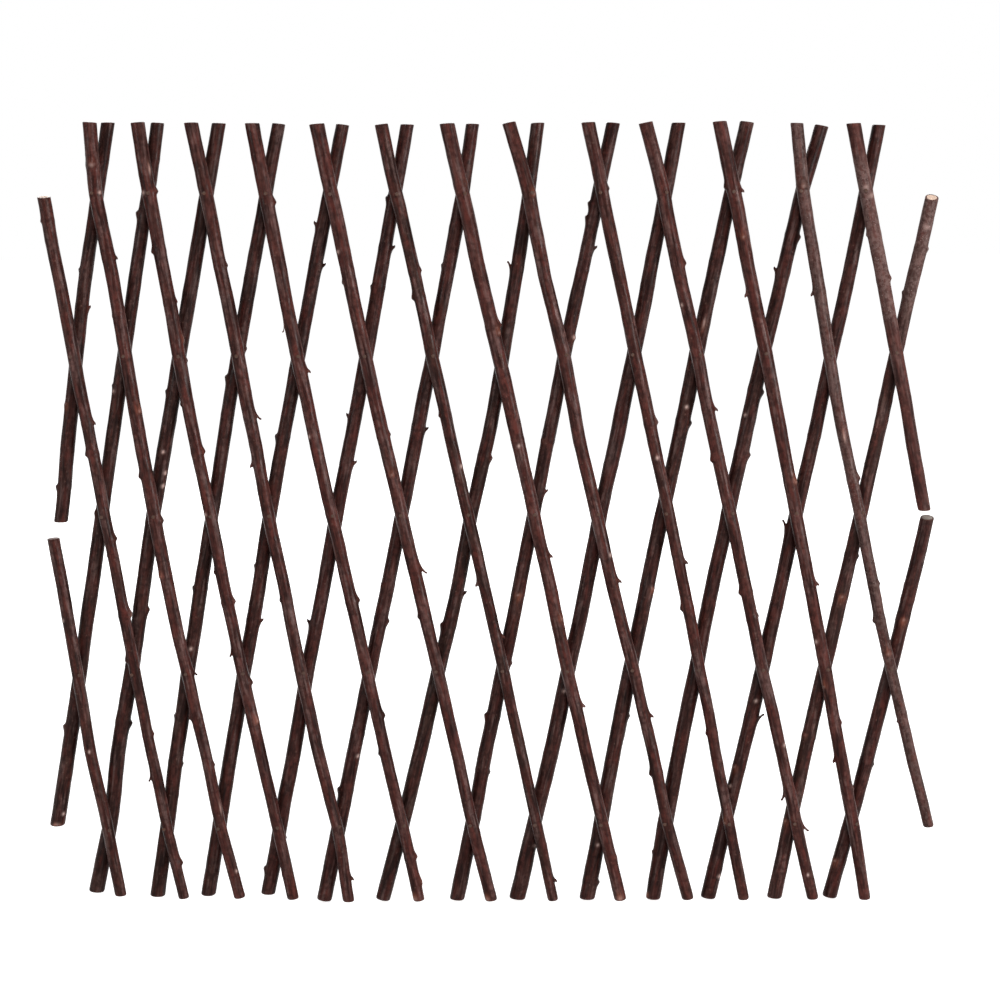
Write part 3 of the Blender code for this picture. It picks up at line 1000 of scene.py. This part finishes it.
def grow_stub(skin, body, mark, shape):
    """Draws a patch of faces out of the bark into a broken twig."""
    ring = int(np.argmin(abs(shape["distances"] - mark["at"])))
    sector = round(mark["angle"] / TWO_PI * SIDES)
    faces = patch_of(body, ring, sector)
    along = Vector(shape["tangent"][ring])
    outward = sum((f.calc_center_median() for f in faces), Vector()) / len(faces)
    outward -= Vector(shape["centres"][ring])
    outward = (outward - outward.project(along)).normalized()
    pale = skin.verts.layers.float["pale"]
    for out, ahead, share in STUB_STEPS[mark["kind"].stub]:
        drawn = bmesh.ops.extrude_face_region(skin, geom=faces)
        bmesh.ops.delete(skin, geom=faces, context="FACES")
        verts = [g for g in drawn["geom"] if isinstance(g, bmesh.types.BMVert)]
        faces = [g for g in drawn["geom"] if isinstance(g, bmesh.types.BMFace)]
        centre = sum((v.co for v in verts), Vector()) / len(verts)
        step = (outward * out + along * shape["growth"] * ahead) * mark["stub_size"]
        for v in verts:
            v.co = centre + (v.co - centre) * share + step
    for v in verts:
        v[pale] = 0.0


# %% [markdown]
# ## All the sticks
#
# Each stick becomes its own object with its own Z axis along the wood. It rides on the body of the
# stick that it stands for and takes that stick's place in the picture, while the plain bar stays
# behind it for the physics. Bark near the right side has gone grey, and a few sticks are darker or
# lighter than their neighbours, which the picture shows. The others get a seeded random tone.

# %% Make the sticks
TOP_WOOD = {"back 14": fresh_end, "front 2": fresh_end, "back 15": grey_end}
WEATHERED_STICKS = ("front 15", "back 14")
# From and to which height of the picture the bark is grey, in pixels, and how grey.
GREY_STRETCHES = {"front 15": (150, 330, 0.9), "back 14": (180, 320, 0.9), "front 14": (100, 880, 0.5)}
GREY_FADE = 18
TONES = {"back 4": 0.6, "back 8": 0.7, "back 14": 0.9, "back 15": 0.0, "front 13": 0.0, "front 15": 0.0}
DARKEST_TONE = 0.9
SHARP_BARK = math.radians(55)
bodies = frame["record"]["behaviour"]["bodies"]
body_of_node = {node: body for body, nodes in bodies.items() for node in nodes}


def stick_place(line):
    """An origin in the middle of a stick, with Z along it."""
    along = Vector(line[0] - line[-1]).normalized()
    across = Vector((0, 1, 0)).cross(along).normalized()
    return turned(Vector(line[len(line) // 2]), across, along.cross(across), along)


def show(name, mesh, sharp, materials, place=None):
    """Smooth skin with sharp edges where it turns by more than an angle, in these materials."""
    for material in materials:
        mesh.materials.append(material)
    mesh.shade_smooth()
    mesh.set_sharp_from_angle(angle=sharp)
    return put_in_scene(name, mesh, place)


def add_mask(mesh, name, values):
    """Writes a number for each point into the mesh, for the bark's shader to read."""
    mesh.attributes.new(name, "FLOAT", "POINT").data.foreach_set("value", values.astype(np.float32))


def add_weather(mesh, key):
    """Writes how grey the bark is at each point, and how dark the whole stick is."""
    values = np.zeros(len(mesh.vertices))
    if key in GREY_STRETCHES:
        first, last, amount = GREY_STRETCHES[key]
        heights = np.array([picture_height(v.co) for v in mesh.vertices])
        values = amount * np.clip(np.minimum(heights - first, last - heights) / GREY_FADE, 0, 1)
    add_mask(mesh, "weather", values)
    tone = TONES.get(key, random.Random(f"{key} tone").uniform(0, DARKEST_TONE) ** 2)
    add_mask(mesh, "tone", np.full(len(mesh.vertices), tone))


skins = {}
for key, (line, _, _) in sticks.items():
    layer, node = key.split()[0], NODES[key]
    shape = stick_shape(key)
    skins[key] = shape["places"].reshape(-1, 3)
    mesh = stick_mesh(f"{node}_bark", key, shape)
    add_weather(mesh, key)
    place = stick_place(line)
    mesh.transform(place.inverted())
    grey = key in WEATHERED_STICKS
    # The back sticks take the darker bark, whose darkness is painted shade.
    own_bark = weathered_bark if grey else front_bark if key in FRONT else back_bark
    materials = (own_bark, TOP_WOOD.get(key, stained_end), stained_end)
    stick = show(f"{node}_bark", mesh, SHARP_BARK, materials, place)
    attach(stick, body_of_node[node])
    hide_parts(node)
print("sticks made:", len(skins), "points:", sum(len(skin) for skin in skins.values()))

# %% [markdown]
# ## Nails
#
# A wire nail is turned round its axis: a flat head with a worn edge, a straight shank, and the
# point, which is hammered down behind the panel so that it can't pull out. The head sits on the
# bark that is really there, it is a little bruised, and every nail is turned differently.

# %% Shape of a nail
NAIL_SIDES = 12
SHANK = 0.0007
HEAD = 0.0014
HEAD_THICKNESS = 0.0005
BITE = 0.0001
# A nail's rings: what their depth starts from, the depth, how far down they are, and their radius.
NAIL_RINGS = (
    ("face", 0, 0, HEAD * 0.35), ("face", 0.00002, 0, HEAD * 0.8), ("face", 0.00012, 0, HEAD * 0.97),
    ("face", 0.0003, 0, HEAD), ("seat", 0, 0, HEAD * 0.93), ("seat", 0.00004, 0, SHANK * 1.5),
    ("seat", 0.0006, 0, SHANK), ("tail", -0.0007, 0, SHANK), ("tail", -0.0002, -0.0002, SHANK),
    ("tail", 0, -0.0007, SHANK * 0.95), ("tail", 0, -0.0022, SHANK * 0.9),
    ("tail", 0, -0.0032, SHANK * 0.6), ("tail", 0, -0.0039, SHANK * 0.25),
)
MOST_LEAN = 0.12
DENT = 0.06
SHARP_STEEL = math.radians(50)


def nail_mesh(name, place, seat, tail):
    """Rings of points along a nail's path, joined, with the head's middle marked for hammer wear and a
    painted highlight.
    """
    wear = random.Random(name)
    spin, lean = wear.uniform(0, TWO_PI), wear.uniform(-MOST_LEAN, MOST_LEAN)
    bruise = wear.uniform(0, TWO_PI)
    start = {"face": seat - HEAD_THICKNESS, "seat": seat, "tail": tail}
    path = [(start[where] + deep, drop, radius) for where, deep, drop, radius in NAIL_RINGS]
    work = bmesh.new()
    grain_layer = work.verts.layers.float_vector.new("grain")
    struck_and_highlight_layer = work.verts.layers.float.new("struck_and_highlight")
    rows = []
    for index, (depth, drop, radius) in enumerate(path):
        before, after = path[max(index - 1, 0)], path[min(index + 1, len(path) - 1)]
        ahead = Vector((0, after[0] - before[0], after[1] - before[1])).normalized()
        side = Vector((1, 0, 0))
        over = side.cross(ahead)
        row = []
        for j in range(NAIL_SIDES):
            turn = spin + j / NAIL_SIDES * TWO_PI
            dent = 1 + (DENT * math.sin(3 * turn + bruise) if depth <= seat else 0)
            out = (side * math.cos(turn) + over * math.sin(turn)) * radius * dent
            tilt = lean * out.x if depth < seat else 0
            co = Vector((place[0], depth + tilt, place[1] + drop)) + out
            co.y = min(max(co.y, box_low[1]), box_high[1])
            vert = work.verts.new(co)
            vert[grain_layer] = Vector((place[0] + out.x, place[1] + out.z, depth + drop))
            # The two middle rings of the head get the brighter steel, part hammer wear and part painted
            # highlight.
            vert[struck_and_highlight_layer] = 1.0 if index < 2 else 0.0
            row.append(vert)
        rows.append(row)
    for first, second in zip(rows, rows[1:]):
        for j in range(NAIL_SIDES):
            k = (j + 1) % NAIL_SIDES
            work.faces.new((first[j], second[j], second[k], first[k]))
    work.faces.new(rows[0])
    work.faces.new(rows[-1])
    bmesh.ops.recalc_face_normals(work, faces=work.faces)
    return to_mesh(work, name)


# %% Drive them in
def bark_depth(key, place):
    """How far forward or back a stick's bark reaches under a nail."""
    skin = skins[key]
    near = skin[(abs(skin[:, 0] - place[0]) < 2 * HEAD) & (abs(skin[:, 2] - place[1]) < 2 * HEAD)]
    return float(near[:, 1].min() if key in FRONT else near[:, 1].max())


for (front, back), place in sorted(crossings.items()):
    seat = bark_depth(f"front {front}", place) + BITE
    tail = bark_depth(f"back {back}", place) + SHANK
    name = f"nail_{front:02d}_{back:02d}"
    nail = show(name, nail_mesh(name, place, seat, tail), SHARP_STEEL, [nail_rust])
    node = separate_nails.get((front, back))
    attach(nail, body_of_node[node or f"front_stick_{front:02d}"])
    if node:
        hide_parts(node)
print("nails made:", len(crossings))

# %% [markdown]
# ## Floor, background and light
#
# The panel stands on a white floor in front of white. Two soft lamps stand low at both sides, the
# right one stronger, and draw a bright line down each round stick. A third hangs above, so the
# front layer shades the back one, and a fourth lights the panel from behind. The white comes only
# from what the camera and its reflections see, so it adds no light to the wood, and close to the
# panel the floor still keeps its soft shadow.

# %% Floor and backdrop
FLOOR_GAP = 0.0004
FLOOR_SIZE = 30
GLOW_NEAR, GLOW_FAR = 0.8, 1.0
GLOW_FROM, GLOW_TO = 0.5, 1.6
FLOOR_WHITE = (0.9, 0.9, 0.9, 1)
WHITE = (1, 1, 1, 1)
ROOM_LIGHT = 0.09
floor_level = float(box_low[2]) - FLOOR_GAP


def seen_directly(tree):
    """1 for what only the camera, reflections and glass see, and 0 for light on the wood."""
    path = tree.nodes.new("ShaderNodeLightPath")
    seen = calculate(tree, "MAXIMUM", path.outputs["Is Camera Ray"], path.outputs["Is Glossy Ray"])
    return calculate(tree, "MAXIMUM", seen, path.outputs["Is Transmission Ray"])


work = bmesh.new()
bmesh.ops.create_grid(work, x_segments=1, y_segments=1, size=FLOOR_SIZE)
bmesh.ops.translate(work, verts=work.verts, vec=Vector((0, 0, floor_level)))
floor = put_in_scene("floor", to_mesh(work, "floor"))
floor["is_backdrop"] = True

material, tree, shader = new_material("white_floor")
for label, value in {
    "Base Color": FLOOR_WHITE, "Roughness": 0.9, "Specular IOR Level": 0.0, "Emission Color": WHITE,
}.items():
    shader.inputs[label].default_value = value
here = add(tree, "ShaderNodeTexCoord").outputs["Object"]
away = add(tree, "ShaderNodeVectorMath", operation="LENGTH", in_0=here).outputs["Value"]
glow = add(
    tree, "ShaderNodeMapRange", in_Value=away, in_From_Min=GLOW_FROM, in_From_Max=GLOW_TO,
    in_To_Min=GLOW_NEAR, in_To_Max=GLOW_FAR,
).outputs[0]
tree.links.new(multiply(tree, seen_directly(tree), glow), shader.inputs["Emission Strength"])
floor.data.materials.append(material)

world = bpy.data.worlds.new("studio")
scene.world = world
world.use_nodes = True
tree = world.node_tree
white = tree.nodes["Background"]
white.inputs["Color"].default_value = WHITE
white.inputs["Strength"].default_value = 1.0
dim = add(tree, "ShaderNodeBackground", in_Color=WHITE, in_Strength=ROOM_LIGHT)
choose = add(tree, "ShaderNodeMixShader", in_0=seen_directly(tree))
tree.links.new(dim.outputs[0], choose.inputs[1])
tree.links.new(white.outputs[0], choose.inputs[2])
tree.links.new(choose.outputs[0], tree.nodes["World Output"].inputs["Surface"])
print("floor at", round(floor_level, 4))

# %% Lamps
def soft_lamp(name, place, size, power):
    lamp = put_in_scene(name, bpy.data.lights.new(name, "AREA"))
    lamp.data.shape = "DISK"
    lamp.data.size = size
    lamp.data.energy = power
    lamp.location = place
    lamp.rotation_euler = (-Vector(place)).to_track_quat("-Z", "Y").to_euler()


soft_lamp("right", (2.25, -1.85, 0.25), 0.6, 62)
soft_lamp("left", (-2.25, -1.85, 0.25), 0.7, 17)
soft_lamp("top", (0.30, -2.10, 2.10), 1.0, 44)
soft_lamp("behind", (-0.50, 2.60, 1.40), 1.5, 50)
scene.view_settings.view_transform = "Standard"

# %% [markdown]
# ## Sizes
#
# The bark, knots and nails have to fit the space that the imported model holds, so both boxes are
# written down side by side.

# %% Print the sizes and finish
visual_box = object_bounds()
boxes = {"cad": cad_box, "visual": visual_box}
for name, box in boxes.items():
    print(name, "size:", [round(float(high - low), 4) for low, high in zip(*box)])
